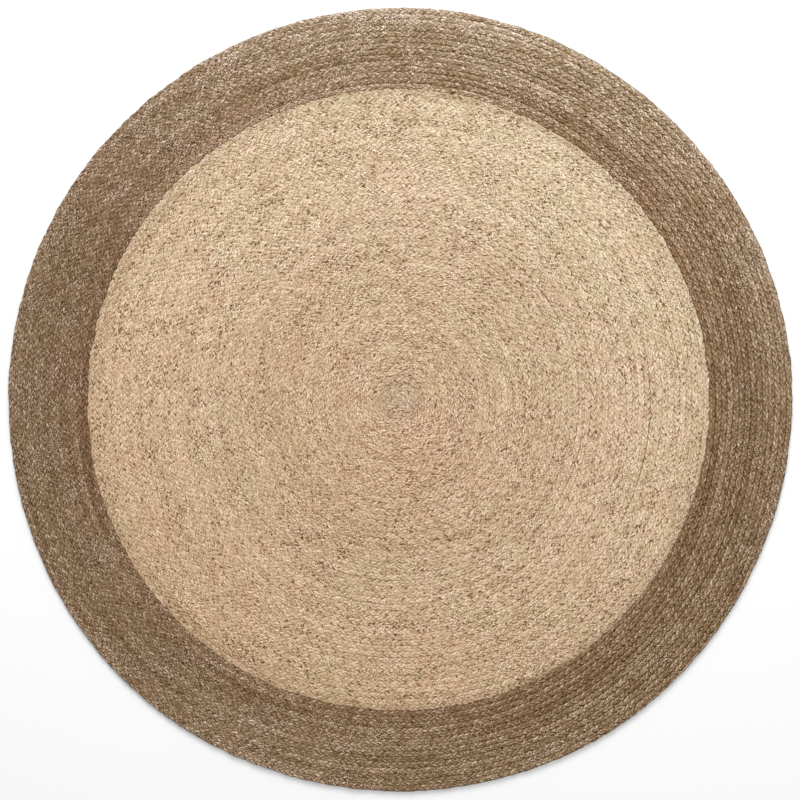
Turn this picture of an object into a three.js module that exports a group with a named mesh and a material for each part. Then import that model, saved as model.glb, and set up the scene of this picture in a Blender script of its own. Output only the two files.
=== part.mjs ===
// A round rug made of jute braid. A natural braid is wound flat into a coil and sewn row to row,
// and a brown braid carries the same coil on as a wide border. Each coil is one solid, flat below,
// with its rows raised above as ribs. Millimetres, +Z up, lying on Z = 0 with its centre at the origin.
import * as THREE from 'three';

const rugRadius = 750;
const naturalRadius = 595;
const naturalRows = 52;
const borderRows = 14;
const rugThickness = 9;
const grooveDepth = 2.4;
const seamGap = 0.3;

// A row that has come round moves out to lie beside itself. It makes most of that step in one
// sector of the turn, and in the same sector the last row of each coil tapers away.
const stepShare = 0.2;
const stepPart = 0.7;
const roundRows = 6;

// The middle of the coil lies a little off the middle of the rug, as wound by hand.
const coilOffset = { x: -3.6, y: -0.6 };

// The rug's edge swells and dips a little: so many waves round it, so high, with a peak at an angle.
const edgeWaves = [
  { waves: 2, height: 0.5, peakAt: 120 },
  { waves: 3, height: 1.2, peakAt: 98 },
  { waves: 5, height: 1.0, peakAt: 12 },
];

// The ribs are drawn with more steps to a turn as the turns get wider.
const turnSteps = [
  { fromRow: 0, steps: 15 },
  { fromRow: 3, steps: 20 },
  { fromRow: 10, steps: 30 },
  { fromRow: 24, steps: 40 },
  { fromRow: 38, steps: 60 },
];

// The round of the rug's edge below its last groove line: how far out, and how high.
const edgeRound = [
  { out: 1.2, up: 4.2 },
  { out: 0.6, up: 1.4 },
  { out: -1.4, up: 0 },
];

// The middle line of a coil's last row lies half a row inside its edge, less the step it has yet to make.
const lastHalfRow = 0.38;
const naturalPitch = naturalRadius / (naturalRows + lastHalfRow);
const borderPitch = (rugRadius - edgeRound[0].out - naturalRadius) / borderRows;
const grooveHeight = rugThickness - grooveDepth;
const naturalEnd = naturalRows + stepShare;
const borderEnd = naturalEnd + borderRows;
const tiny = 1e-6;

// The row count at a turn: whole turns, and in each turn a step that is mostly made in its first part.
function rowCount(turn) {
  const whole = Math.floor(turn + tiny);
  const share = Math.max(turn - whole, 0);
  const stepped = stepPart * Math.min(1, turn / roundRows);
  return whole + (1 - stepped) * share + stepped * THREE.MathUtils.smoothstep(share, 0, stepShare);
}

// The radius of the braid's middle line at a turn.
function crestRadius(turn) {
  const rows = rowCount(turn);
  return naturalPitch * Math.min(rows, naturalRows) + borderPitch * Math.max(rows - naturalRows, 0);
}

// The radius of the groove between a row and the next one out.
function grooveRadius(turn) {
  return (crestRadius(turn) + crestRadius(turn + 1)) / 2;
}

// The radius of a coil's outer edge in its last turn, where the braid's end tapers away.
function edgeRadius(turn, endTurn) {
  const left = Math.min(1, (endTurn - turn) / stepShare);
  return THREE.MathUtils.lerp(grooveRadius(turn - 1), grooveRadius(turn), left);
}

// The turns at which a line is drawn, from one turn to another.
function turnsBetween(first, last) {
  const turns = [];
  for (let turn = first; turn < last - tiny; ) {
    turns.push(turn);
    turn += 1 / turnSteps.findLast((zone) => turn > zone.fromRow - tiny).steps;
  }
  turns.push(last);
  return turns;
}

// A point of the rug. The coil runs clockwise from +X, and grows outwards as it goes.
function place(radius, turn, height) {
  const angle = -2 * Math.PI * turn;
  const share = radius / rugRadius;
  const offset = THREE.MathUtils.clamp((rugRadius - radius) / (rugRadius - naturalRadius), 0, 1);
  const swell = edgeWaves.reduce((sum, wave) => {
    const fromPeak = angle - THREE.MathUtils.degToRad(wave.peakAt);
    return sum + wave.height * Math.cos(wave.waves * fromPeak);
  }, 0);
  const waved = radius + swell * share * share;
  return [
    waved * Math.cos(angle) + coilOffset.x * offset,
    waved * Math.sin(angle) + coilOffset.y * offset,
    height,
  ];
}

// The same line, counted as so many turns later.
function later(line, turns) {
  return line.map((spot) => ({ ...spot, turn: spot.turn + turns }));
}

// A closed line, started at another share of its turn.
function startedAt(loop, share) {
  const cut = loop.findIndex((spot) => spot.turn > loop[0].turn + share - tiny);
  return [...loop.slice(cut), ...later(loop.slice(1, cut + 1), 1)];
}

// A closed shell in the making: its points, and its triangles.
class Shell {
  points = [];
  faces = [];

  add(radius, turn, height) {
    this.points.push(...place(radius, turn, height));
    return { id: this.points.length / 3 - 1, radius, turn };
  }

  // A copy of a closed line at another height, moved outwards.
  ring(loop, out, height) {
    const spots = loop.slice(0, -1).map((spot) => this.add(spot.radius + out, spot.turn, height));
    return [...spots, { ...spots[0], turn: loop.at(-1).turn }];
  }

  // Triangles between two lines that run side by side. The near line is the inner one on the rug's top.
  stitch(near, far) {
    let i = 0;
    let j = 0;
    while (i < near.length - 1 || j < far.length - 1) {
      const onNear = (near[i + 1]?.turn ?? Infinity) <= (far[j + 1]?.turn ?? Infinity);
      const next = onNear ? near[i + 1] : far[j + 1];
      const corners = new Set([near[i].id, next.id, far[j].id]);
      if (corners.size === 3) {
        this.faces.push(...corners);
      }
      i += onNear ? 1 : 0;
      j += onNear ? 0 : 1;
    }
  }

  geometry() {
    const geometry = new THREE.BufferGeometry();
    geometry.setAttribute('position', new THREE.Float32BufferAttribute(this.points, 3));
    geometry.setIndex(this.faces);
    geometry.computeVertexNormals();
    return geometry;
  }
}

// The ribbed top of a coil, wound on from its starting point. The inner line is what its first turn
// lies against. The result is the line of the coil's outer edge, once round.
function ribbedTop(shell, start, endTurn, innerLine, innerRadius) {
  const crest = [start];
  const groove = [start];
  const lastTurn = endTurn - 1;
  for (const turn of turnsBetween(start.turn, endTurn).slice(1, -1)) {
    const inner = innerRadius(turn);
    const outer = turn > lastTurn ? edgeRadius(turn, endTurn) : grooveRadius(turn);
    const rise = grooveDepth * THREE.MathUtils.smoothstep(outer - inner, 0, 0.8 * borderPitch);
    crest.push(shell.add((inner + outer) / 2, turn, grooveHeight + rise));
    groove.push(shell.add(outer, turn, grooveHeight));
  }
  const meeting = groove.findIndex((spot) => spot.turn > lastTurn - tiny);
  const end = { ...groove[meeting], turn: endTurn };
  crest.push(end);
  groove.push(end);
  shell.stitch(crest, groove);
  shell.stitch([...innerLine, ...later(groove.slice(1, meeting + 1), 1)], crest);
  return groove.slice(meeting);
}

// The natural coil starts in the very middle, and its side meets the border.
function naturalCoil() {
  const shell = new Shell();
  const middle = shell.add(0, 0, grooveHeight + grooveDepth / 2);
  const innerRadius = (turn) => (turn < 1 ? 0 : grooveRadius(turn - 1));
  const edge = ribbedTop(shell, middle, naturalEnd, [middle, ...later([middle], 1)], innerRadius);
  const base = shell.ring(edge, 0, 0);
  shell.stitch(edge, base);
  shell.stitch(base, [shell.add(0, 0, 0)]);
  return shell.geometry();
}

// The inner edge of the border lies against the natural coil, just clear of it.
function borderInnerRadius(turn) {
  if (turn > naturalRows + 1) {
    return grooveRadius(turn - 1);
  }
  return seamGap + (turn > naturalEnd ? grooveRadius(turn - 1) : edgeRadius(turn, naturalEnd));
}

// The border runs from the natural coil out to the rug's round edge.
function borderCoil() {
  const shell = new Shell();
  const inner = turnsBetween(naturalRows, naturalRows + 1).slice(0, -1).map((turn) => {
    return shell.add(borderInnerRadius(turn), turn, grooveHeight);
  });
  inner.push({ ...inner[0], turn: naturalRows + 1 });
  const edge = ribbedTop(shell, inner[0], borderEnd, inner, borderInnerRadius);
  const rings = [edge, ...edgeRound.map((spot) => shell.ring(edge, spot.out, spot.up))];
  const innerBase = shell.ring(inner, 0, 0);
  for (let i = 1; i < rings.length; i += 1) {
    shell.stitch(rings[i - 1], rings[i]);
  }
  shell.stitch(rings.at(-1), later(startedAt(innerBase, stepShare), borderRows - 1));
  shell.stitch(innerBase, inner);
  return shell.geometry();
}

function braided(name, geometry, colour) {
  const material = new THREE.MeshStandardMaterial({ color: colour, roughness: 0.95, metalness: 0 });
  const mesh = new THREE.Mesh(geometry, material);
  mesh.name = name;
  return mesh;
}

const rug = new THREE.Group();
rug.add(braided('natural_coil', naturalCoil(), '#cbb091'));
rug.add(braided('brown_border_coil', borderCoil(), '#8d745b'));

// The rug is centred on the middle of its outline.
const middle = new THREE.Box3().setFromObject(rug).getCenter(new THREE.Vector3());
rug.position.set(-middle.x, -middle.y, 0);

export default rug;
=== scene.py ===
import math
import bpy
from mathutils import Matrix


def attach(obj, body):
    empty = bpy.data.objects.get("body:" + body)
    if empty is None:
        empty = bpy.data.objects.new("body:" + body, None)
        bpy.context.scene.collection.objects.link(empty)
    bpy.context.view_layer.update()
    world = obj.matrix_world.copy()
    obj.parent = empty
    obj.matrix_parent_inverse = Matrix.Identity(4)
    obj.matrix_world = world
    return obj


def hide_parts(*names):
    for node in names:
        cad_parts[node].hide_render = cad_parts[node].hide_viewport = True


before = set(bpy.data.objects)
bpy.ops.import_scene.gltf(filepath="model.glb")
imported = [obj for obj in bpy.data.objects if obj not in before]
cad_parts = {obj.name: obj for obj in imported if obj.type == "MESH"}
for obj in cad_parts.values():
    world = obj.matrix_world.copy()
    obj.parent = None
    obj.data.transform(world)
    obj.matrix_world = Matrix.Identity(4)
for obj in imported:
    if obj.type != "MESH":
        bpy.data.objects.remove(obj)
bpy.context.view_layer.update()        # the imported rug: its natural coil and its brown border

from types import SimpleNamespace

import bpy
import numpy as np
from mathutils import Vector

print("loaded", sorted(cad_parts))

# Sizes of the rug in metres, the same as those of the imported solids.
rug = {
    "radius": 0.750,
    "naturalRadius": 0.595,
    "thickness": 0.009,
    "naturalRows": 52,
    "borderRows": 14,
    "edgeOut": 0.0012,
    "seamGap": 0.0003,
    "stepShare": 0.2,  # the share of a turn in which a row steps out
    "stepPart": 0.7,
    "roundRows": 6,
    "lastHalfRow": 0.38,
    "coilOffset": (-0.0036, -0.0006),
    "edgeWaves": ((2, 0.0005, 120), (3, 0.0012, 98), (5, 0.0010, 12)),  # waves, height, peak angle
    "startShare": 0.35,  # the braid's start swells to full width over this much of a turn
    "stray": ((0.0005, 0.045, 11), (0.0006, 0.007, 12)),  # how far a groove strays, over what length, seed
    "scallop": 0.0009,  # how far a stitch presses into the row beside it
    "seamStray": ((0.0017, 0.0075, 13), (0.0008, 0.03, 14)),
    "rimStray": ((0.0006, 0.009, 15), (0.0005, 0.022, 16)),
    "strayTurns": 2,  # the turns over which the grooves of the middle begin to stray
    "strayRise": 20,  # how fast the seam and the rim begin to stray, per turn
    "leastWidth": 0.0005,
}
samples = {"turn": 360, "edge": 721, "press": 3000, "cut": 200}  # how finely a turn is measured
naturalPitch = rug["naturalRadius"] / (rug["naturalRows"] + rug["lastHalfRow"])
borderPitch = (rug["radius"] - rug["edgeOut"] - rug["naturalRadius"]) / rug["borderRows"]
naturalEnd = rug["naturalRows"] + rug["stepShare"]
borderEnd = naturalEnd + rug["borderRows"]

# A flat plait of three strands, seen from above: two columns of stitches to a row. Each stitch
# slants from the middle of the row out to its edge.
plait = {
    "trail": 0.62,  # how far a stitch trails at the row's edge, in stitches
    "zigzag": 0.16,  # how far stitches reach past the row's middle, in half rows
    "edgeHeight": 0.0070,  # the groove between two rows
    "backGroove": 0.0018,
    "centreHeight": 0.0074,
    "bulk": 0.00038,  # how much one stitch stands higher than another
    "lean": 0.0004,
    "fullness": (0.1, 1.4),
    "creaseStray": 0.20,
    "middleStray": 0.26,
    "lengthDrift": 0.5,  # how far the stitches run ahead or behind, in stitches
    "driftLength": 12,
    "roundness": 2.5,  # how square a stitch is across its back
    "meanArc": 0.75,
    "fullShare": 0.85,  # a braid narrower than this share of a row is flattened
    "looseReach": 0.6,
    "startSwell": 0.3,
    "rimBulge": 0.0009,
    "rimHeight": 0.0034,
    "rimUv": 0.3,
}
# Lines along the braid: place across the row, height of a stitch's back, depth of the crease beside it.
plaitLines = (
    (-0.72, 0.0081, 0.0024),
    (-0.36, 0.0086, 0.0026),
    (0.0, 0.0080, 0.0010),
    (0.36, 0.0086, 0.0026),
    (0.72, 0.0081, 0.0024),
    (1.0, 0.0072, 0.0008),
)
# Where the four points of a stitch lie along it: its crease, and the sides and top of its back.
creaseSteps = {-1: (0.0, 0.16, 0.5, 0.84), 0: (0.0, 0.25, 0.5, 0.75), 1: (0.0, 0.34, 0.5, 0.66)}
steps = 4
driftKnots = 200000


def smoothStep(x):
    x = np.clip(x, 0, 1)
    return x * x * (3 - 2 * x)


# A value that wanders between -1 and 1 along a length, with a new chance at each spacing.
def drift(at, spacing, seed):
    knots = np.random.default_rng(seed).uniform(-1, 1, driftKnots)
    at = np.maximum(at, 0) / spacing
    low = np.floor(at).astype(int)
    mix = smoothStep(at - low)
    return knots[low] * (1 - mix) + knots[low + 1] * mix


# How many rows lie inside a turn of the coil, which makes most of each step out early in the turn.
def rowCount(turn):
    whole = np.floor(turn + 1e-9)
    share = np.maximum(turn - whole, 0)
    stepped = rug["stepPart"] * np.minimum(1, turn / rug["roundRows"])
    return whole + (1 - stepped) * share + stepped * smoothStep(share / rug["stepShare"])


def middleRadius(turn):
    rows = rowCount(turn)
    natural = rug["naturalRows"]
    return naturalPitch * np.minimum(rows, natural) + borderPitch * np.maximum(rows - natural, 0)


# How far the stitches press each groove out, filled in by pressRows once they are counted.
scallop = {"turn": np.zeros(2), "out": np.zeros(2)}


def strayed(length, drifts):
    return sum(most * drift(length, spacing, seed) for most, spacing, seed in drifts)


def grooveRadius(turn):
    turn = np.maximum(turn, 0)
    even = (middleRadius(turn) + middleRadius(turn + 1)) / 2
    length = math.pi * naturalPitch * turn**2
    fromSeam = smoothStep((turn - rug["naturalRows"] + 1) * rug["strayRise"])
    seam = fromSeam * smoothStep((naturalEnd - turn) * rug["strayRise"])
    rim = smoothStep((turn - borderEnd + 1) * rug["strayRise"])
    stray = strayed(length, rug["stray"]) + np.interp(turn, scallop["turn"], scallop["out"], left=0, right=0)
    stray = stray + seam * strayed(length, rug["seamStray"]) + rim * strayed(length, rug["rimStray"])
    return even * smoothStep(turn / rug["startShare"]) + stray * smoothStep(turn / rug["strayTurns"])


# The last turn of a braid tapers away against the row inside it.
def edgeRadius(turn, endTurn):
    left = np.clip((endTurn - turn) / rug["stepShare"], 0, 1)
    inner, outer = grooveRadius(turn - 1), grooveRadius(turn)
    return np.maximum(inner + (outer - inner) * left, inner + rug["leastWidth"])


def naturalInner(turn):
    return np.where(turn < 1, 0, grooveRadius(turn - 1))


def naturalOuter(turn):
    return np.where(turn > naturalEnd - 1, edgeRadius(turn, naturalEnd), grooveRadius(turn))


def borderInner(turn):
    natural = np.where(turn > naturalEnd, grooveRadius(turn - 1), naturalOuter(turn))
    return np.where(turn < rug["naturalRows"] + 1, natural + rug["seamGap"], grooveRadius(turn - 1))


def borderOuter(turn):
    outer = np.where(turn > borderEnd - 1, edgeRadius(turn, borderEnd), grooveRadius(turn))
    return np.maximum(outer, borderInner(turn) + rug["leastWidth"])


# Points in plan. The coil runs clockwise from +X and grows outwards.
def placed(radius, turn):
    angle = -2 * math.pi * turn
    share = radius / rug["radius"]
    swell = sum(h * np.cos(n * (angle - math.radians(peak))) for n, h, peak in rug["edgeWaves"])
    offset = np.clip((rug["radius"] - radius) / (rug["radius"] - rug["naturalRadius"]), 0, 1)
    waved = radius + swell * share**2
    x = waved * np.cos(angle) + rug["coilOffset"][0] * offset
    y = waved * np.sin(angle) + rug["coilOffset"][1] * offset
    return np.stack([x, y], -1)


def outlineMiddle():
    turn = np.linspace(borderEnd - 1, borderEnd, samples["edge"])
    edge = placed(edgeRadius(turn, borderEnd) + rug["edgeOut"], turn)
    return (edge.min(0) + edge.max(0)) / 2


rugMiddle = outlineMiddle()


# How many stitches of a braid lie before each turn of its coil.
def countStitches(braid):
    first, last = braid["firstTurn"], braid["lastTurn"]
    fine = np.linspace(first, last, int((last - first) * samples["turn"]))
    middle = (braid["inner"](fine) + braid["outer"](fine)) / 2
    length = 2 * math.pi * np.concatenate([[0], np.cumsum((middle[1:] + middle[:-1]) / 2 * np.diff(fine))])
    stitch = length / braid["stitchLength"]
    wander = drift(stitch, plait["driftLength"], braid["seed"]) * smoothStep(stitch / plait["driftLength"])
    stitch = stitch + plait["lengthDrift"] * wander
    return fine, np.maximum.accumulate(stitch - stitch[0])


def stitchArc(share):
    return np.sqrt(1 - np.abs(2 * share - 1) ** plait["roundness"])


# Stitches bulge past the edge of their row, and the row outside presses back with its own.
def pressRows(natural, border):
    turn = np.arange(0, borderEnd, 1 / samples["press"])
    out = np.zeros(len(turn))
    for shift, side, sign in ((0, 0.5, 1), (1, 0, -1)):
        for fine, stitch in (natural, border):
            here = (turn + shift >= fine[0]) & (turn + shift <= fine[-1])
            phase = np.interp(turn[here] + shift, fine, stitch) + plait["trail"] + side
            out[here] += sign * (stitchArc(phase % 1) - plait["meanArc"])
    scallop["turn"], scallop["out"] = turn, out * rug["scallop"]


# A braid as lines of points along it, top and back, before it is cut into pieces.
def layBraid(braid):
    first, inner, outer = braid["firstTurn"], braid["inner"], braid["outer"]
    fine, stitch = braid["laid"]
    count = int(stitch[-1])
    node = np.arange(count * steps + 1)
    chance = np.random.default_rng(braid["seed"] + 1)
    columns = (2, count + 3)  # the stitches on either side of the row's middle, with a few to spare
    bulk = chance.normal(0, 1, columns).clip(-2, 2) * plait["bulk"]
    lean = chance.uniform(-1, 1, columns) * plait["lean"]
    fullness = chance.uniform(*plait["fullness"], columns)
    creaseStray = chance.uniform(-1, 1, columns) * plait["creaseStray"]
    middleStray = chance.uniform(-1, 1, 2 * count + 9) * plait["middleStray"]

    def height(column, phase):
        own = phase + 0.5 * column
        leaf = np.floor(own + 1e-9).astype(int)
        share = (own - leaf).clip(0, 1)
        arc = stitchArc(share)
        rise = bulk[column][leaf] + lean[column][leaf] * (2 * share - 1) * arc
        return rise, (1 - arc) * fullness[column][leaf]

    def line(across, crown, depth, every=1):
        at = node[::every]
        onTop = every == 1
        side = int(np.sign(across))
        column = int(side > 0)
        phase = at // steps + np.array(creaseSteps[side])[at % steps]
        raised = crown + np.zeros(len(at))
        place = np.full(len(at), float(across))
        if onTop and side:
            rise, fall = height(column, phase)
            raised = raised + rise - depth * fall
            crease = at % steps == (2 if side > 0 else 0)
            phase = phase + np.where(crease, creaseStray[column][at // steps], 0)
            phase[0] = max(phase[0], 0)
        elif onTop:
            place = middleStray[at // 2] - plait["zigzag"] * np.cos(2 * math.pi * phase)
            raised = raised - depth * np.abs(np.sin(2 * math.pi * phase))
        turn = np.interp(phase - plait["trail"] * abs(across), stitch, fine)
        low, high = inner(turn), outer(turn)
        radius = low + (place + 1) / 2 * (high - low)
        swell = smoothStep(turn / plait["startSwell"])
        if onTop:
            fromLoose = -2 * math.pi * turn - math.radians(braid["looseAngle"])
            loose = smoothStep((np.cos(fromLoose) + plait["looseReach"]) / (2 * plait["looseReach"]))
            raised = raised - (braid["sag"] * loose - braid["lift"] * (1 - loose)) * abs(across) ** 2
            full = smoothStep((high - low) / (plait["fullShare"] * borderPitch))
            raised = plait["edgeHeight"] + (raised - plait["edgeHeight"]) * full
            raised = plait["centreHeight"] + (raised - plait["centreHeight"]) * swell
        else:
            raised = raised * swell
        point = np.concatenate([placed(radius, turn) - rugMiddle, raised[:, None]], 1)
        return {"point": point, "turn": turn, "uv": np.stack([phase, place], 1)}

    def layer(lines, every, startHeight):
        lead = np.linspace(first - 1, first, braid["leadNodes"] // every + 1)[:-1]
        start = placed(inner(lead + 1), lead + 1) - rugMiddle
        startPoint = np.concatenate([start, np.full((len(lead), 1), startHeight)], 1)
        turn = np.concatenate([lead, lines[-1]["turn"]])
        own = np.interp(turn + 1, fine, stitch) + plait["trail"]
        return {
            "lines": lines,
            "every": every,
            "lead": len(lead),
            "grooveTurn": turn,
            "groovePoint": np.concatenate([startPoint, lines[-1]["point"]]),
            "grooveUv": np.stack([own, np.full(len(own), -1.0)], 1),
        }

    top = layer([line(*spot) for spot in plaitLines], 1, braid["innerHeight"])
    half = steps // 2
    backLines = [line(0, 0, 0, half), line(1, plait["backGroove"], 0, half)]
    return {"top": top, "back": layer(backLines, half, braid["innerBack"]), "stitches": count}


# The triangles between two lines of points, each made with the next point on one line or the other.
def zipped(near, far):
    (nearIds, nearTurn, nearUv), (farIds, farTurn, farUv) = near, far
    order = np.argsort(np.concatenate([nearTurn[1:], farTurn[1:]]), kind="stable")
    onNear = order < len(nearTurn) - 1
    i = np.cumsum(onNear) - onNear
    j = np.cumsum(~onNear) - ~onNear
    nextI = np.minimum(i + 1, len(nearIds) - 1)
    nextJ = np.minimum(j + 1, len(farIds) - 1)
    faces = np.stack([nearIds[i], np.where(onNear, nearIds[nextI], farIds[nextJ]), farIds[j]], 1)
    uvs = np.stack([nearUv[i], np.where(onNear[:, None], nearUv[nextI], farUv[nextJ]), farUv[j]], 1)
    return faces, uvs


# One side of a piece, and the closed lines round its inside and its outside.
def surface(layer, firstNode, lastNode, base):
    every, lines, lead = layer["every"], layer["lines"], layer["lead"]
    a, b = firstNode // every, lastNode // every
    wide = b - a + 1
    reach = layer["grooveTurn"] + 1
    start = np.searchsorted(reach, lines[0]["turn"][a]) if firstNode else 0
    end = np.searchsorted(reach, lines[0]["turn"][b])
    points = [line["point"][a : b + 1] for line in lines] + [layer["groovePoint"][start : lead + a]]

    def own(k, j):
        return base + k * wide + (j - a)

    def groove(e):
        copied = base + len(lines) * wide + (e - start)
        return np.where(e < lead + a, copied, own(len(lines) - 1, e - lead))

    faces, uvs = [], []
    j = np.arange(a, b)
    for k in range(len(lines) - 1):
        corners = [own(k, j), own(k, j + 1), own(k + 1, j + 1), own(k + 1, j)]
        uv, nextUv = lines[k]["uv"], lines[k + 1]["uv"]
        spots = [uv[j], uv[j + 1], nextUv[j + 1], nextUv[j]]
        for pick in ((0, 1, 2), (0, 2, 3)):
            faces.append(np.stack([corners[c] for c in pick], 1))
            uvs.append(np.stack([spots[c] for c in pick], 1))
    near = np.arange(start, end + 1)
    far = np.arange(a, b + 1)
    made = zipped(
        (groove(near), reach[near], layer["grooveUv"][near]),
        (own(0, far), lines[0]["turn"][far], lines[0]["uv"][far]),
    )
    faces.append(made[0])
    uvs.append(made[1])

    def ring(fromEdge, node):
        edge = np.arange(fromEdge, lead + node + 1)
        turns = layer["grooveTurn"][edge]
        spots = layer["grooveUv"][edge] * [1, 0] + [-plait["trail"], 1]
        inwards = range(len(lines) - 2, -1, -1)
        cap = np.array([own(k, node) for k in inwards])
        across = np.array([lines[k]["uv"][node] for k in inwards])
        turns = np.concatenate([turns, turns[-1] + (1 - across[:, 1]) * 1e-6, [turns[-1] + 3e-6]])
        ids = np.concatenate([groove(edge), cap, groove(edge[:1])])
        return ids, turns, np.concatenate([spots, across, spots[:1]])

    return {
        "points": np.concatenate(points),
        "faces": np.concatenate(faces),
        "uvs": np.concatenate(uvs),
        "inside": ring(start, a),
        "outside": ring(end, b),
    }


smoothAngle = math.radians(80)
bakeMargin = 1.01


def joinedObject(name, points, faces, uvMaps):
    mesh = bpy.data.meshes.new(name)
    mesh.vertices.add(len(points))
    mesh.vertices.foreach_set("co", points.astype(np.float32).ravel())
    mesh.loops.add(faces.size)
    mesh.loops.foreach_set("vertex_index", faces.astype(np.int32).ravel())
    mesh.polygons.add(len(faces))
    mesh.polygons.foreach_set("loop_start", np.arange(0, faces.size, faces.shape[1], dtype=np.int32))
    for mapName, uvs in uvMaps.items():
        mesh.uv_layers.new(name=mapName).uv.foreach_set("vector", uvs.astype(np.float32).ravel())
    mesh.update(calc_edges=True)
    piece = bpy.data.objects.new(name, mesh)
    bpy.context.collection.objects.link(piece)
    bpy.ops.object.select_all(action="DESELECT")
    piece.select_set(True)
    bpy.context.view_layer.objects.active = piece
    return piece


# The rim bulges between the top's last groove and the back.
def bulgedRim(points, outside, firstId):
    ids, turns, spots = outside
    bulged = points[ids[:-1]].copy()
    outwards = bulged[:, :2] / np.linalg.norm(bulged[:, :2], axis=1)[:, None]
    bulged[:, :2] += outwards * plait["rimBulge"]
    bulged[:, 2] = plait["rimHeight"]
    ringIds = np.append(np.arange(len(bulged)), 0) + firstId
    return bulged, (ringIds, turns, spots + [0, plait["rimUv"]])


# A flat layout for baking: the top with its sides spread out round it, and the back beside it.
def bakePlaces(points, groups, settings):
    reach = np.linalg.norm(points[:, :2], axis=1).max() * bakeMargin
    bake = []
    for kind, faces, _ in groups:
        corners = points[faces]
        plan, fromTop = corners[..., :2], rug["thickness"] - corners[..., 2:]
        away = np.linalg.norm(plan, axis=-1, keepdims=True).clip(1e-6)
        if kind == "back":
            bake.append(plan * settings["backScale"] / reach + settings["backPlace"])
        else:
            side = {"top": 0, "outside": 1, "inside": -1}[kind]
            spread = plan * (1 + side * fromTop / away)
            bake.append(spread * settings["topScale"] / reach + settings["topPlace"])
    return np.concatenate(bake)


def braidPiece(name, laid, firstNode, lastNode, settings):
    top = surface(laid["top"], firstNode, lastNode, 0)
    back = surface(laid["back"], firstNode, lastNode, len(top["points"]))
    points = [top["points"], back["points"]]
    groups = [("top", top["faces"], top["uvs"]), ("back", back["faces"][:, ::-1], back["uvs"][:, ::-1])]
    outside = top["outside"]
    if settings["rim"]:
        bulged, bulge = bulgedRim(top["points"], outside, sum(len(p) for p in points))
        points.append(bulged)
        groups.append(("outside", *zipped(outside, bulge)))
        outside = bulge
    groups.append(("outside", *zipped(outside, back["outside"])))
    if not settings["closedMiddle"]:
        groups.append(("inside", *zipped(back["inside"], top["inside"])))
    points = np.concatenate(points)
    faces = np.concatenate([found for _, found, _ in groups])
    braidUv = np.concatenate([uvs for _, _, uvs in groups])
    maps = {"braid": braidUv, "OFBake": bakePlaces(points, groups, settings)}
    piece = joinedObject(name, points, faces, maps)
    slots = [np.full(len(found), int(kind == "back"), dtype=np.int32) for kind, found, _ in groups]
    piece.data.polygons.foreach_set("material_index", np.concatenate(slots))
    bpy.ops.object.mode_set(mode="EDIT")
    bpy.ops.mesh.select_all(action="SELECT")
    bpy.ops.mesh.remove_doubles(threshold=1e-6)
    bpy.ops.mesh.dissolve_degenerate(threshold=1e-7)
    bpy.ops.object.mode_set(mode="OBJECT")
    bpy.ops.object.shade_smooth_by_angle(angle=smoothAngle)
    print(name, len(piece.data.polygons), "faces")
    return piece


naturalBraid = {
    "firstTurn": 0,
    "lastTurn": naturalEnd,
    "stitchLength": 0.0115,
    "inner": naturalInner,
    "outer": naturalOuter,
    "leadNodes": 8,
    "innerHeight": plait["centreHeight"],
    "innerBack": 0,
    "sag": 0.0001,  # how much rounder the rows are on the side where they lie loosest
    "lift": 0.0006,
    "looseAngle": 330,
    "seed": 21,
}
borderBraid = {
    "firstTurn": rug["naturalRows"],
    "lastTurn": borderEnd,
    "stitchLength": 0.0121,
    "inner": borderInner,
    "outer": borderOuter,
    "leadNodes": 1280,
    "innerHeight": plait["edgeHeight"],
    "innerBack": plait["backGroove"],
    "sag": 0.0017,
    "lift": 0.0003,
    "looseAngle": 10,
    "seed": 31,
}
ringPlace = {"topScale": 0.495, "topPlace": (0.5, 0.5), "backPlace": (0.5, 0.5), "closedMiddle": False}
discPlace = {
    "topScale": 0.395,
    "topPlace": (0.4, 0.4),
    "backScale": 0.18,
    "backPlace": (0.815, 0.815),
    "closedMiddle": True,
}
braidPieces = (
    ("middleBraid", "natural", 0, 1 / 3, discPlace | {"rim": False}),
    ("innerBraid", "natural", 1 / 3, 2 / 3, ringPlace | {"backScale": 0.25, "rim": False}),
    ("outerBraid", "natural", 2 / 3, 1, ringPlace | {"backScale": 0.35, "rim": False}),
    ("borderBraid", "border", 0, 1 / 2, ringPlace | {"backScale": 0.40, "rim": False}),
    ("edgeBraid", "border", 1 / 2, 1, ringPlace | {"backScale": 0.40, "rim": True}),
)
braids = {"natural": naturalBraid, "border": borderBraid}
for braid in braids.values():
    braid["laid"] = countStitches(braid)
pressRows(naturalBraid["laid"], borderBraid["laid"])
laid = {coil: layBraid(braid) for coil, braid in braids.items()}
print("laid", laid["natural"]["stitches"], "natural and", laid["border"]["stitches"], "brown stitches")
pieces = {"natural": [], "border": []}
flatSizes = {}


# The mean radius of a coil where it is cut after so many stitches.
def cutRadius(braid, stitch):
    fine, stitches = braid["laid"]
    turn = np.interp(stitch, stitches, fine)
    if stitch == 0:
        return braid["inner"](np.linspace(turn, turn + 1, samples["cut"])).mean()
    return braid["outer"](np.linspace(turn - 1, turn, samples["cut"])).mean()


for name, coil, start, end, settings in braidPieces:
    stitches = laid[coil]["stitches"]
    cuts = [round(stitches * share) * steps for share in (start, end)]
    pieces[coil].append(braidPiece(name, laid[coil], *cuts, settings))
    low, high = (cutRadius(braids[coil], cut / steps) for cut in cuts)
    area = math.pi * (high**2 - low**2)
    flatSizes[name] = (2 * high, 2 * high, area) if low == 0 else (high - low, math.pi * (high + low), area)
    print(name, "flat size and area", [round(float(size), 4) for size in flatSizes[name]])


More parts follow.
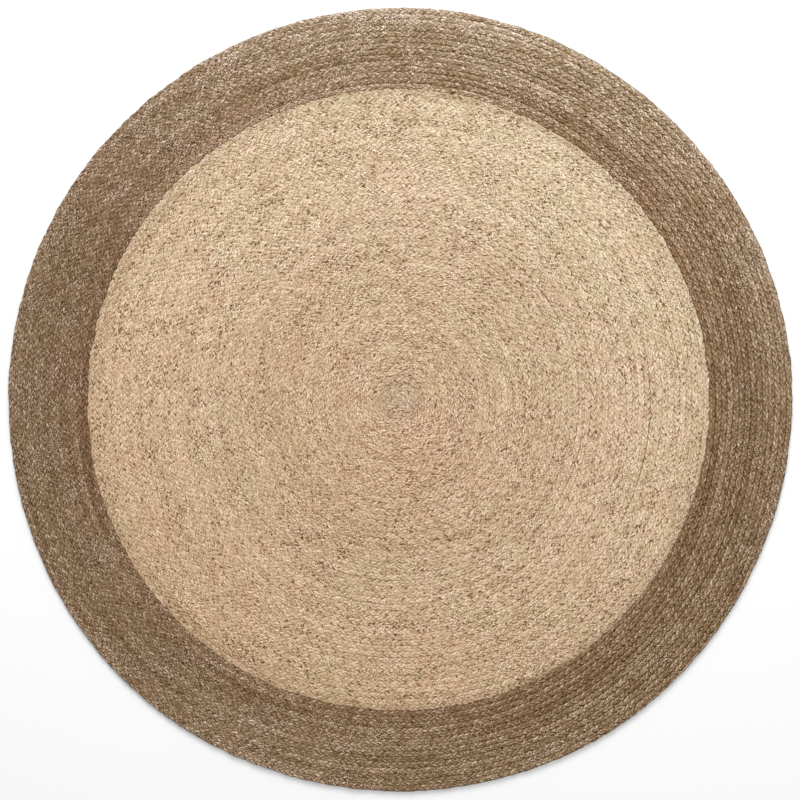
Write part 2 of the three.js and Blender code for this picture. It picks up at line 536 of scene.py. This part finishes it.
# Loose fibres and slivers of bark: thin tubes of three sides, whose ends dip into the braid.
looseStrands = {
    "naturalFuzz": {
        "radii": (0.004, 0.590),
        "count": 4200,
        "length": (0.006, 0.022),
        "wide": (0.00011, 0.00020),
        "flat": 1.0,
        "low": 0.0066,
        "crown": (0.0092, 0.0102),
        "stray": 0.7,
        "bend": 0.22,
        "outwards": 0.0,
        "clump": 1,
        "seed": 41,
    },
    "borderFuzz": {
        "radii": (0.598, 0.744),
        "count": 2300,
        "length": (0.006, 0.020),
        "wide": (0.00011, 0.00020),
        "flat": 1.0,
        "low": 0.0058,
        "crown": (0.0092, 0.0102),
        "stray": 0.7,
        "bend": 0.22,
        "outwards": 0.0,
        "clump": 1,
        "seed": 42,
    },
    "naturalBark": {
        "radii": (0.060, 0.590),
        "count": 600,
        "length": (0.003, 0.007),
        "wide": (0.0006, 0.0012),
        "flat": 0.25,
        "low": 0.0080,
        "crown": (0.0087, 0.0091),
        "stray": 0.6,
        "bend": 0.1,
        "outwards": 0.0,
        "clump": 4,  # how many lie together, and how far apart across and along the row
        "clumpSpread": (0.004, 0.03),
        "seed": 43,
    },
    "rimFuzz": {
        "radii": (0.741, 0.746),
        "count": 800,
        "length": (0.005, 0.012),
        "wide": (0.00010, 0.00018),
        "flat": 1.0,
        "low": 0.0040,
        "crown": (0.0045, 0.0080),
        "stray": 1.2,
        "bend": 0.3,
        "outwards": 1.0,
        "clump": 1,
        "seed": 44,
    },
}


strandTaper = (0.45, 1, 1, 1, 0.45)  # how thick a strand is at each ring of three points
ringTurns = (0.5, 7 / 6, 11 / 6)


def strandPiece(name, made):
    chance = np.random.default_rng(made["seed"])
    count = made["count"]

    def between(low, high):
        return chance.uniform(low, high, count)

    radius = np.sqrt(between(made["radii"][0] ** 2, made["radii"][1] ** 2))
    angle = between(0, 2 * math.pi)
    if made["clump"] > 1:
        first = np.arange(count) // made["clump"] * made["clump"]
        outwards, onwards = made["clumpSpread"]
        radius = (radius[first] + chance.normal(0, outwards, count)).clip(*made["radii"])
        angle = angle[first] + chance.normal(0, onwards, count) / radius
    heading = angle + (1 - made["outwards"]) * math.pi / 2 + between(-1, 1) * made["stray"]
    length, bend = between(*made["length"]), between(-1, 1) * made["bend"]
    wide, crown = between(*made["wide"]), between(*made["crown"])
    share = np.linspace(0, 1, len(strandTaper))
    onward = np.stack([np.cos(heading), np.sin(heading)], 1)[:, None]
    sideways = np.stack([-np.sin(heading), np.cos(heading)], 1)[:, None]
    start = np.stack([radius * np.cos(angle), radius * np.sin(angle)], 1)[:, None]
    along = length[:, None, None] * share[None, :, None]
    bow = (length * bend * 4)[:, None, None] * (share * (1 - share))[None, :, None]
    plan = start + onward * along + sideways * bow
    rise = np.sin(math.pi * share * (1 - 0.5 * made["outwards"])) ** 0.7
    height = made["low"] + (crown - made["low"])[:, None] * rise
    thick = wide[:, None] * np.array(strandTaper)
    rings = []
    for turned in ringTurns:
        out = thick * math.cos(math.pi * turned)
        up = thick * math.sin(math.pi * turned) * made["flat"]
        rings.append(np.concatenate([plan + sideways * out[..., None], (height + up)[..., None]], 2))
    points = np.stack(rings, 2).reshape(-1, 3)
    faces, spots = [], []
    for k in range(len(strandTaper) - 1):
        for side in range(3):
            corners = [(k, side), (k, side + 1), (k + 1, side + 1), (k + 1, side)]
            for pick in ((0, 1, 2), (0, 2, 3)):
                faces.append([corners[c][0] * 3 + corners[c][1] % 3 for c in pick])
                spots.append([(0.15 + corners[c][0] * 0.18, 0.05 + corners[c][1] * 0.3) for c in pick])
    end = 3 * (len(strandTaper) - 1)
    faces += [[2, 1, 0], [end, end + 1, end + 2]]
    spots += [[(0.02, 0.2), (0.12, 0.2), (0.07, 0.4)], [(0.89, 0.2), (0.98, 0.2), (0.93, 0.4)]]
    faces, spots = np.array(faces), np.array(spots)
    own = np.arange(count)
    wideGrid = math.ceil(math.sqrt(count))  # each strand has a cell of its own in the bake
    cell = np.stack([own % wideGrid, own // wideGrid], 1)[:, None, None]
    bake = (cell + spots[None]) / wideGrid
    sideSpots = np.broadcast_to(spots[None, ..., 1], (count, *spots.shape[:2]))
    braid = np.stack([own[:, None, None] + spots[None, ..., 0], sideSpots], -1)
    allFaces = (faces[None] + own[:, None, None] * 3 * len(strandTaper)).reshape(-1, 3)
    maps = {"braid": braid.reshape(-1, 3, 2), "OFBake": bake.reshape(-1, 3, 2)}
    piece = joinedObject(name, points, allFaces, maps)
    bpy.ops.object.shade_smooth_by_angle(angle=smoothAngle)
    print(name, len(piece.data.polygons), "faces")
    return piece


strands = {name: strandPiece(name, made) for name, made in looseStrands.items()}


# A material and its nodes, which take numbers, colours and other nodes' outputs alike.
class NodeTree:
    def __init__(self, name):
        self.material = bpy.data.materials.new(name)
        self.material.use_nodes = True
        self.tree = self.material.node_tree
        self.shader = self.tree.nodes["Principled BSDF"]

    def add(self, kind, inputs=None, **settings):
        node = self.tree.nodes.new(kind)
        for key, value in settings.items():
            setattr(node, key, value)
        for key, value in (inputs or {}).items():
            self.put(node.inputs[key], value)
        return node

    def put(self, socket, value):
        if isinstance(value, bpy.types.NodeSocket):
            self.tree.links.new(value, socket)
        else:
            socket.default_value = value

    def calc(self, operation, *values):
        node = self.add("ShaderNodeMath", operation=operation)
        for socket, value in zip(node.inputs, values):
            self.put(socket, value)
        return node.outputs[0]

    def noise(self, at, scale, detail, rough=0.5):
        inputs = {"Vector": at, "Scale": scale, "Detail": detail, "Roughness": rough}
        return self.add("ShaderNodeTexNoise", inputs).outputs["Fac"]

    def chance(self, *values, dimensions="2D"):
        inputs = {"Vector": self.spot(*values)}
        return self.add("ShaderNodeTexWhiteNoise", inputs, noise_dimensions=dimensions).outputs

    def spot(self, *values):
        return self.add("ShaderNodeCombineXYZ", dict(enumerate(values))).outputs[0]

    def ramp(self, value, stops):
        node = self.add("ShaderNodeValToRGB", {0: value})
        ramp = node.color_ramp
        while len(ramp.elements) < len(stops):
            ramp.elements.new(0.5)
        for element, (place, colour) in zip(ramp.elements, stops):
            element.position = place
            element.color = (*colour, 1)
        return node.outputs["Color"]

    def mix(self, share, first, second, blend="MIX"):
        node = self.add("ShaderNodeMix", data_type="RGBA", blend_type=blend)
        self.put(node.inputs[0], share)
        for socket, value in ((node.inputs[6], first), (node.inputs[7], second)):
            self.put(socket, value if isinstance(value, bpy.types.NodeSocket) else (*value, 1))
        return node.outputs[2]

    def spread(self, value, low, high, newLow=0.0, newHigh=1.0):
        inputs = {0: value, 1: low, 2: high, 3: newLow, 4: newHigh}
        return self.add("ShaderNodeMapRange", inputs, clamp=True).outputs[0]

    def finish(self, values):
        for name, value in values.items():
            self.shader.inputs[name].default_value = value


# The albedo that gives a colour as it looks on the lit rug.
def tone(red, green, blue, light=1.025):
    return tuple(((c / 255 + 0.055) / 1.055) ** 2.4 / light for c in (red, green, blue))


naturalLook = {
    "tones": (
        (0.0, tone(104, 66, 22)),
        (0.30, tone(162, 131, 94)),
        (0.55, tone(200, 174, 142)),
        (0.80, tone(227, 204, 175)),
        (1.0, tone(246, 229, 206)),
    ),
    # Painted light: the jute is tinted paler and cooler towards this angle, and darker and warmer away from
    # it.
    "paintedLightAngle": math.radians(55),
    "pale": ((0.0, (0.92, 0.85, 0.80)), (1.0, (1.09, 1.17, 1.24))),
    # Painted light: tinted by how far a point lies towards the angle of the painted groove shade; here it
    # hardly changes.
    "side": ((0.0, (0.985, 1.0, 0.99)), (1.0, (0.985, 1.0, 1.0))),
    "pink": (1.0, 0.94, 0.93),
    "green": (0.96, 0.98, 0.92),
    "plain": (0.985, 0.965, 0.955),
    "fleck": tone(92, 58, 12),
    "fleckShare": 0.62,
    "middle": 0.534,
    # Painted light among these shares: highlights on the stitch crests and glints, and shade in the creases
    # and row grooves.
    "crestHighlight": 0.10,
    "stitchShare": 0.16,
    "glint": 0.06,
    "creaseShade": -0.10,
    "pit": -0.08,
    "stain": -0.20,
    "rowGrooveShade": -0.30,
    "groove": -0.15,
    # Painted shade in the row grooves: full towards the angle below, this share of it on the far side.
    "farSideShade": 0.3,
    "looseAngle": math.radians(330),
    "grainShare": 1.75,
    "strandShare": 0.10,
    "rowShare": 0.36,
    "streakShare": 0.90,
    "fineShare": 0.80,
}
brownLook = {
    "tones": (
        (0.0, tone(61, 36, 6)),
        (0.30, tone(103, 76, 43)),
        (0.53, tone(137, 111, 81)),
        (0.76, tone(181, 156, 127)),
        (1.0, tone(219, 200, 177)),
    ),
    # Painted light: the border is tinted much paler and bluer towards this angle, a painted lit side and
    # sheen.
    "paintedLightAngle": math.radians(80),
    "pale": (
        (0.0, (0.97, 0.97, 1.0)),
        (0.2, (0.975, 0.98, 1.01)),
        (0.42, (0.905, 0.90, 0.93)),
        (0.62, (0.96, 0.96, 1.01)),
        (0.80, (1.14, 1.18, 1.31)),
        (0.95, (1.36, 1.49, 1.74)),
        (1.0, (1.42, 1.56, 1.83)),
    ),
    # Painted light: the border is tinted darker away from the angle of the painted groove shade and lighter
    # towards it.
    "side": ((0.0, (0.92, 0.91, 0.915)), (1.0, (1.08, 1.09, 1.085))),
    "pink": (1.0, 0.96, 0.955),
    "green": (0.965, 0.98, 0.95),
    "plain": (0.985, 0.97, 0.96),
    "fleck": tone(54, 32, 8),
    "fleckShare": 0.10,
    "middle": 0.430,
    # Painted light among these shares: highlights on the stitch crests and glints, and shade in the creases
    # and row grooves.
    "crestHighlight": 0.13,
    "stitchShare": 0.13,
    "glint": 0.14,
    "creaseShade": -0.14,
    "pit": -0.06,
    "stain": -0.12,
    "rowGrooveShade": -0.20,
    "groove": -0.16,
    # Painted shade in the row grooves: full towards the angle below, this share of it on the far side.
    "farSideShade": 0.0,
    "looseAngle": math.radians(-15),
    "grainShare": 1.60,
    "strandShare": 0.12,
    "rowShare": 0.62,
    "streakShare": 1.05,
    "fineShare": 0.80,
}


# The fibres and their wear, and where painted shade falls in the creases and grooves. A scale along
# the braid is for each stitch, and any other is for each metre. A range says where a value begins
# and ends to show, and how much it then shows.
jute = {
    "finish": {"Roughness": 0.65, "Specular IOR Level": 0.10, "Sheen Weight": 0.04, "Sheen Roughness": 0.5},
    "streaks": 5.0,
    "fineStreaks": 12.0,
    "slant": (5.3, 0.9),
    "fineSlant": (1.5, 1.7),
    "strandTones": 0.06,
    "strandsApart": 9.7,
    "rowTones": 0.016,
    "crestPowers": (1.8, 2.5),
    "gaps": 1.3,
    "gapSlant": 1.9,
    "gapRange": (0.42, 0.66),
    "gapEdge": (0.02, 0.17, 1.0, 0.0),
    "rowGaps": 0.03,
    "rowGapRange": (0.50, 0.66),
    "rowGapEdge": (0.62, 0.95),
    "grooveEdge": (0.66, 0.98),
    "looseRange": (-0.4, 0.6),
    "patches": 13.0,
    "patchRange": (0.38, 0.62, 0.55, 1.45),
    "wornRange": (0.10, 0.45, 1.3, 1.0),
    "grain": 520.0,
    "pits": 230.0,
    "pitRange": (0.30, 0.44, 1.0, 0.0),
    "stains": 105.0,
    "stainRange": (0.24, 0.34, 1.0, 0.0),
    "strandHues": (0.05, 4.1, 0.32),  # scale, how far the strands differ, share
    "rugHues": ((4.0, 3.0, 0.6, 0.38), (23.0, 2.0, 0.5, 0.30)),  # scale, detail, roughness, share
    "huePlaces": (0.41, 0.5, 0.59),
    "clusters": 24.0,
    "clusterRange": (0.47, 0.66, 0.06, 1.3),
    "rowClusters": 0.04,
    "rowClusterRange": (0.48, 0.66, 0.35, 3.0),
    "fleckRange": (0.05, 0.45, 0.3, 1.0),
    "fleckSize": (0.25, 0.42),  # across and along a stitch
    "fleckEdge": (1.55, 0.95),
    "fleckStreak": 0.9,
    "fleckCover": 0.95,
    "relief": {"streak": 0.5, "fine": 0.35, "rough": 1.0, "crease": 1.4},
    "roughGrain": 400.0,
    "bump": 0.0016,
    "creaseEdge": (0.0, 0.3),
    "creaseReach": (0.0, 0.2, 0.4, 1.0),
}


# Where a point lies: on the rug, along and across its row, and in its own stitch and strand.
def plaitPlace(m):
    at = SimpleNamespace()
    parts = m.add("ShaderNodeSeparateXYZ", {0: m.add("ShaderNodeUVMap", uv_map="braid").outputs[0]})
    at.along, at.across = parts.outputs[0], parts.outputs[1]
    at.outer = m.calc("GREATER_THAN", at.across, 0.0)
    at.own = m.calc("MULTIPLY_ADD", at.outer, 0.5, at.along)
    at.stitch = m.calc("FLOOR", at.own)
    at.share = m.calc("FRACT", at.own)
    at.reach = m.calc("ABSOLUTE", at.across)
    at.strand = m.calc("MODULO", m.calc("MULTIPLY_ADD", at.stitch, 2.0, at.outer), 3.0)
    byStitch, byReach = jute["slant"]
    at.slant = m.calc("MULTIPLY_ADD", at.stitch, byStitch, m.calc("MULTIPLY", at.reach, byReach))
    streakAlong = m.calc("MULTIPLY", at.own, jute["streaks"])
    at.streak = m.noise(m.spot(streakAlong, at.slant, at.outer), 1.0, 2.0, 0.6)
    fineReach, fineSlant = jute["fineSlant"]
    fineAlong = m.calc("MULTIPLY", at.own, jute["fineStreaks"])
    fineAlong = m.calc("MULTIPLY_ADD", at.reach, fineReach, fineAlong)
    at.fine = m.noise(m.spot(fineAlong, m.calc("MULTIPLY", at.slant, fineSlant), at.outer), 1.0, 2.0, 0.6)
    at.place = m.add("ShaderNodeTexCoord").outputs["Object"]
    flat = m.add("ShaderNodeVectorMath", {0: at.place, 1: (1, 1, 0)}, operation="MULTIPLY").outputs[0]
    fromMiddle = m.add("ShaderNodeVectorMath", {0: flat}, operation="LENGTH").outputs["Value"]
    at.radius = m.calc("DIVIDE", fromMiddle, rug["radius"])
    return at


# How far a point lies from the rug's middle towards an angle, as a share of the radius.
def towards(m, at, angle):
    heading = (math.cos(angle) / rug["radius"], math.sin(angle) / rug["radius"], 0)
    return m.add("ShaderNodeVectorMath", {0: at.place, 1: heading}, operation="DOT_PRODUCT").outputs["Value"]


# How pale a point is, from 0 to 1: its tones along strand and row, its wear and stains, painted highlights on
# the stitch crests, and painted shade in the creases and row grooves.
def juteShade(m, at, look):
    chance = m.chance(at.stitch, at.outer, 3.0)["Value"]
    # Painted highlight: each stitch is lighter along its crest and darker towards its ends and edges.
    sidePower, endPower = jute["crestPowers"]
    sideways = m.calc("POWER", m.calc("ABSOLUTE", m.calc("MULTIPLY_ADD", at.share, 2.0, -1.0)), sidePower)
    lengthways = m.calc("POWER", m.calc("ABSOLUTE", m.calc("MULTIPLY_ADD", at.reach, 2.0, -1.0)), endPower)
    crest = m.calc("MULTIPLY", m.calc("SUBTRACT", 1.0, sideways), m.calc("SUBTRACT", 1.0, lengthways))
    # Painted highlight: a bright glint on the crest of some stitches, chosen at random.
    glint = m.calc("MULTIPLY", m.calc("POWER", chance, 3.0), m.calc("POWER", crest, 1.5))
    # Painted shade in the creases between stitches, where a noise opens them.
    gapAlong = m.calc("MULTIPLY", at.own, jute["gaps"])
    gapAt = m.spot(gapAlong, m.calc("MULTIPLY", at.slant, jute["gapSlant"]), 5.0)
    gapOpen = m.spread(m.noise(gapAt, 1.0, 1.0), *jute["gapRange"])
    creaseShade = m.calc("MULTIPLY", m.spread(m.calc("PINGPONG", at.share, 0.5), *jute["gapEdge"]), gapOpen)
    patch = m.spread(m.noise(at.place, jute["patches"], 3.0, 0.6), *jute["patchRange"])
    pit = m.spread(m.noise(at.place, jute["pits"], 2.0, 0.6), *jute["pitRange"])
    stain = m.spread(m.noise(at.place, jute["stains"], 2.0, 0.6), *jute["stainRange"])
    # Painted shade along the outer edge of each row, in the groove to the next row, where a noise opens it.
    rowOpen = m.noise(m.spot(m.calc("MULTIPLY", at.own, jute["rowGaps"]), 9.0, 1.0), 1.0, 3.0, 0.6)
    rowOpen = m.spread(rowOpen, *jute["rowGapRange"])
    rowGrooveShade = m.calc("MULTIPLY", m.spread(at.across, *jute["rowGapEdge"]), rowOpen)
    # Painted shade in the grooves at both edges of each row, full towards one angle of the rug and weaker on
    # the far side.
    loose = m.spread(at.loose, *jute["looseRange"], look["farSideShade"], 1.0)
    groove = m.calc("MULTIPLY", m.spread(at.reach, *jute["grooveEdge"]), loose)
    # Painted highlights on the crests and painted shade in the creases and grooves are among these marks;
    # pits and stains are the jute's own.
    marks = (
        (crest, "crestHighlight"),
        (m.calc("SUBTRACT", chance, 0.5), "stitchShare"),
        (glint, "glint"),
        (creaseShade, "creaseShade"),
        (m.calc("MULTIPLY", pit, patch), "pit"),
        (stain, "stain"),
        (rowGrooveShade, "rowGrooveShade"),
        (groove, "groove"),
    )
    shade = look["middle"]
    for value, part in marks:
        shade = m.calc("MULTIPLY_ADD", value, look[part], shade)
    strandAlong = m.calc("MULTIPLY", at.own, jute["strandTones"])
    strandAt = m.spot(strandAlong, m.calc("MULTIPLY", at.strand, jute["strandsApart"]), 0.0)
    rowAt = m.spot(m.calc("MULTIPLY", at.along, jute["rowTones"]), 5.0, 3.0)
    worn = m.calc("MULTIPLY", patch, m.spread(at.radius, *jute["wornRange"]))
    grain = m.calc("SUBTRACT", m.noise(at.place, jute["grain"], 1.0, 0.6), 0.5)
    tones = (
        (m.noise(strandAt, 1.0, 2.0), "strandShare"),
        (m.noise(rowAt, 1.0, 3.0, 0.55), "rowShare"),
        (at.streak, "streakShare"),
        (at.fine, "fineShare"),
        (m.calc("MULTIPLY_ADD", grain, worn, 0.5), "grainShare"),
    )
    for value, part in tones:
        shade = m.calc("ADD", shade, m.calc("MULTIPLY", m.calc("SUBTRACT", value, 0.5), look[part]))
    return shade


# Flecks of bark: ragged spots on single stitches, which lie in clusters and along some rows.
def juteFlecks(m, at, look):
    cluster = m.spread(m.noise(at.place, jute["clusters"], 3.0, 0.6), *jute["clusterRange"])
    rowCluster = m.noise(m.spot(m.calc("MULTIPLY", at.along, jute["rowClusters"]), 2.0, 6.0), 1.0, 2.0, 0.6)
    cluster = m.calc("MULTIPLY", cluster, m.spread(rowCluster, *jute["rowClusterRange"]))
    cluster = m.calc("MULTIPLY", cluster, m.spread(at.radius, *jute["fleckRange"]))
    scatter = m.chance(at.stitch, at.outer, 8.0, dimensions="3D")["Color"]
    scattered = m.add("ShaderNodeSeparateColor", {0: scatter}).outputs
    wide, long = jute["fleckSize"]
    offShare = m.calc("DIVIDE", m.calc("SUBTRACT", at.share, scattered[0]), wide)
    offReach = m.calc("DIVIDE", m.calc("SUBTRACT", at.reach, scattered[1]), long)
    away = m.calc("SQRT", m.calc("MULTIPLY_ADD", offShare, offShare, m.calc("MULTIPLY", offReach, offReach)))
    away = m.calc("MULTIPLY_ADD", at.streak, jute["fleckStreak"], away)
    chosen = m.calc("LESS_THAN", scattered[2], m.calc("MULTIPLY", cluster, look["fleckShare"]))
    return m.calc("MULTIPLY", m.spread(away, *jute["fleckEdge"]), chosen)


def juteColour(m, at, look, zones):
    scale, apart, share = jute["strandHues"]
    hueAt = m.spot(m.calc("MULTIPLY", at.own, scale), m.calc("MULTIPLY", at.strand, apart), 7.0)
    hue = m.calc("MULTIPLY", m.noise(hueAt, 1.0, 3.0, 0.6), share)
    for scale, detail, rough, share in jute["rugHues"]:
        hue = m.calc("MULTIPLY_ADD", m.noise(at.place, scale, detail, rough), share, hue)
    hues = zip(jute["huePlaces"], (look["green"], look["plain"], look["pink"]))
    # Painted light: paler and cooler towards one angle, a painted lit side and sheen.
    pale = m.spread(at.pale, -1.0, 1.0)
    # Painted light: lighter towards the angle of the painted groove shade and darker away from it, in the
    # border.
    side = m.spread(at.loose, -1.0, 1.0)
    colour = m.ramp(juteShade(m, at, look), look["tones"])
    colour = m.mix(1.0, colour, m.ramp(hue, tuple(hues)), "MULTIPLY")
    colour = m.mix(m.calc("MULTIPLY", juteFlecks(m, at, look), jute["fleckCover"]), colour, look["fleck"])
    for tint in (m.ramp(at.radius, zones), m.ramp(pale, look["pale"]), m.ramp(side, look["side"])):
        colour = m.mix(1.0, colour, tint, "MULTIPLY")
    return colour


# The fibres' relief, and on the back the creases between the stitches too, which are flat there.
def juteRelief(m, at, backSide):
    parts = jute["relief"]
    fine = m.calc("MULTIPLY", at.fine, parts["fine"])
    relief = m.calc("ADD", m.calc("MULTIPLY", at.streak, parts["streak"]), fine)
    relief = m.calc("MULTIPLY_ADD", m.noise(at.place, jute["roughGrain"], 2.0, 0.65), parts["rough"], relief)
    if backSide:
        crease = m.spread(m.calc("PINGPONG", at.share, 0.5), *jute["creaseEdge"])
        crease = m.calc("MULTIPLY", crease, m.spread(at.reach, *jute["creaseReach"]))
        relief = m.calc("ADD", relief, m.calc("MULTIPLY", crease, parts["crease"]))
    return m.add("ShaderNodeBump", {"Strength": 1.0, "Distance": jute["bump"], "Height": relief}).outputs[0]


def juteMaterial(name, look, zones, backSide):
    m = NodeTree(name)
    at = plaitPlace(m)
    # How far a point lies towards the side where the grooves are painted darkest.
    at.loose = towards(m, at, look["looseAngle"])
    # How far a point lies towards the side that is painted paler, as if lit.
    at.pale = towards(m, at, look["paintedLightAngle"])
    m.put(m.shader.inputs["Base Color"], juteColour(m, at, look, zones))
    m.put(m.shader.inputs["Normal"], juteRelief(m, at, backSide))
    m.finish(jute["finish"])
    return m.material


# Tints from the middle of the rug outwards, by share of its radius.
naturalZones = (
    (0.0, (0.83, 0.80, 0.83)),
    (0.028, (0.86, 0.845, 0.88)),
    (0.046, (0.765, 0.72, 0.715)),
    (0.066, (0.91, 0.865, 0.855)),
    (0.12, (0.93, 0.88, 0.875)),
    (0.165, (0.89, 0.835, 0.835)),
    (0.20, (0.915, 0.875, 0.87)),
    (0.38, (0.91, 0.88, 0.875)),
    (0.45, (0.94, 0.925, 0.945)),
    (0.52, (0.98, 0.97, 1.0)),
    (0.745, (0.97, 0.96, 0.98)),
    (0.79, (0.84, 0.83, 0.83)),
)
brownZones = (
    (0.80, (0.94, 0.90, 0.89)),
    (0.88, (0.96, 0.955, 0.96)),
    (0.94, (0.99, 1.01, 1.02)),
    (0.98, (1.04, 1.07, 1.12)),
)


strandFinish = {"Roughness": 0.65, "Specular IOR Level": 0.15}
wornStreaks = 5.0
paleFibre = ((0.1, tone(170, 140, 100)), (0.5, tone(225, 200, 165)), (0.9, tone(248, 232, 205)))
brownFibre = ((0.1, tone(80, 56, 32)), (0.5, tone(150, 124, 96)), (0.9, tone(222, 200, 172)))
darkBark = ((0.1, tone(82, 52, 18)), (0.5, tone(104, 72, 32)), (0.9, tone(134, 98, 54)))
strandLooks = {
    "naturalFuzz": ("naturalFibre", paleFibre, "natural_jute"),
    "borderFuzz": ("brownFibre", brownFibre, "brown_jute"),
    "rimFuzz": ("rimFibre", brownFibre, "brown_jute"),
    "naturalBark": ("bark", darkBark, "natural_jute"),
}


def strandMaterial(name, tones):
    m = NodeTree(name)
    parts = m.add("ShaderNodeSeparateXYZ", {0: m.add("ShaderNodeUVMap", uv_map="braid").outputs[0]})
    own = m.calc("FLOOR", parts.outputs[0])
    chance = m.chance(own, 1.0, 0.0)["Value"]
    wornAt = m.spot(m.calc("MULTIPLY", parts.outputs[0], wornStreaks), parts.outputs[1], 0.0)
    worn = m.noise(wornAt, 1.0, 2.0, 0.6)
    shade = m.calc("MULTIPLY_ADD", worn, 0.5, m.calc("MULTIPLY", chance, 0.6))
    m.put(m.shader.inputs["Base Color"], m.ramp(shade, tones))
    m.finish(strandFinish)
    return m.material


for name, (label, tones, slot) in strandLooks.items():
    strands[name].data.materials.append(strandMaterial(label, tones))
    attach(strands[name], "root")
looks = {
    "natural": ("naturalJute", naturalLook, naturalZones, "natural_coil", "natural_jute"),
    "border": ("brownJute", brownLook, brownZones, "brown_border_coil", "brown_jute"),
}
for coil, (name, look, zones, node, slot) in looks.items():
    for suffix, backSide in (("", False), ("Back", True)):
        material = juteMaterial(name + suffix, look, zones, backSide)
        for piece in pieces[coil]:
            piece.data.materials.append(material)
    for piece in pieces[coil]:
        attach(piece, "root")
        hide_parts(node)
        *flat, area = flatSizes[piece.name]
print("materials made")

# Floor, lights and camera.
picture = {"metresPerPixel": 0.0019153, "pixels": 800, "middle": (400.3, 399.6), "lens": 85.0, "sensor": 36.0}
floorLook = {"size": 14, "colour": (0.76, 0.76, 0.76, 1), "roughness": 0.9}
bpy.ops.object.select_all(action="DESELECT")
bpy.ops.mesh.primitive_plane_add(size=floorLook["size"])
floor = bpy.context.object
floor.name = "floor"
pale = NodeTree("paleFloor")
pale.finish({"Base Color": floorLook["colour"], "Roughness": floorLook["roughness"]})
floor.data.materials.append(pale.material)

width = picture["metresPerPixel"] * picture["pixels"]
height = width * picture["lens"] / picture["sensor"]
offX = (picture["pixels"] / 2 - picture["middle"][0]) * picture["metresPerPixel"]
offY = (picture["middle"][1] - picture["pixels"] / 2) * picture["metresPerPixel"]
bpy.ops.object.camera_add(location=(offX, offY, height), rotation=(0, 0, 0))
camera = bpy.context.object
camera.data.lens = picture["lens"]
camera.data.sensor_width = picture["sensor"]
bpy.context.scene.camera = camera

lamps = {
    "topLamp": {"spot": (-0.5, 4.6, 3.4), "size": 2.6, "power": 292},
    "highLamp": {"spot": (1.3, 1.3, 6.0), "size": 3.0, "power": 150},
}
for name, lampLook in lamps.items():
    bpy.ops.object.light_add(type="AREA", location=lampLook["spot"])
    lamp = bpy.context.object
    lamp.name = name
    lamp.data.size = lampLook["size"]
    lamp.data.energy = lampLook["power"]
    lamp.rotation_euler = Vector(lampLook["spot"]).to_track_quat("Z", "Y").to_euler()
skyStrength = 0.56
world = bpy.data.worlds.new("studio")
world.use_nodes = True
world.node_tree.nodes["Background"].inputs["Color"].default_value = (1, 1, 1, 1)
world.node_tree.nodes["Background"].inputs["Strength"].default_value = skyStrength
bpy.context.scene.world = world
bpy.context.scene.view_settings.view_transform = "Standard"
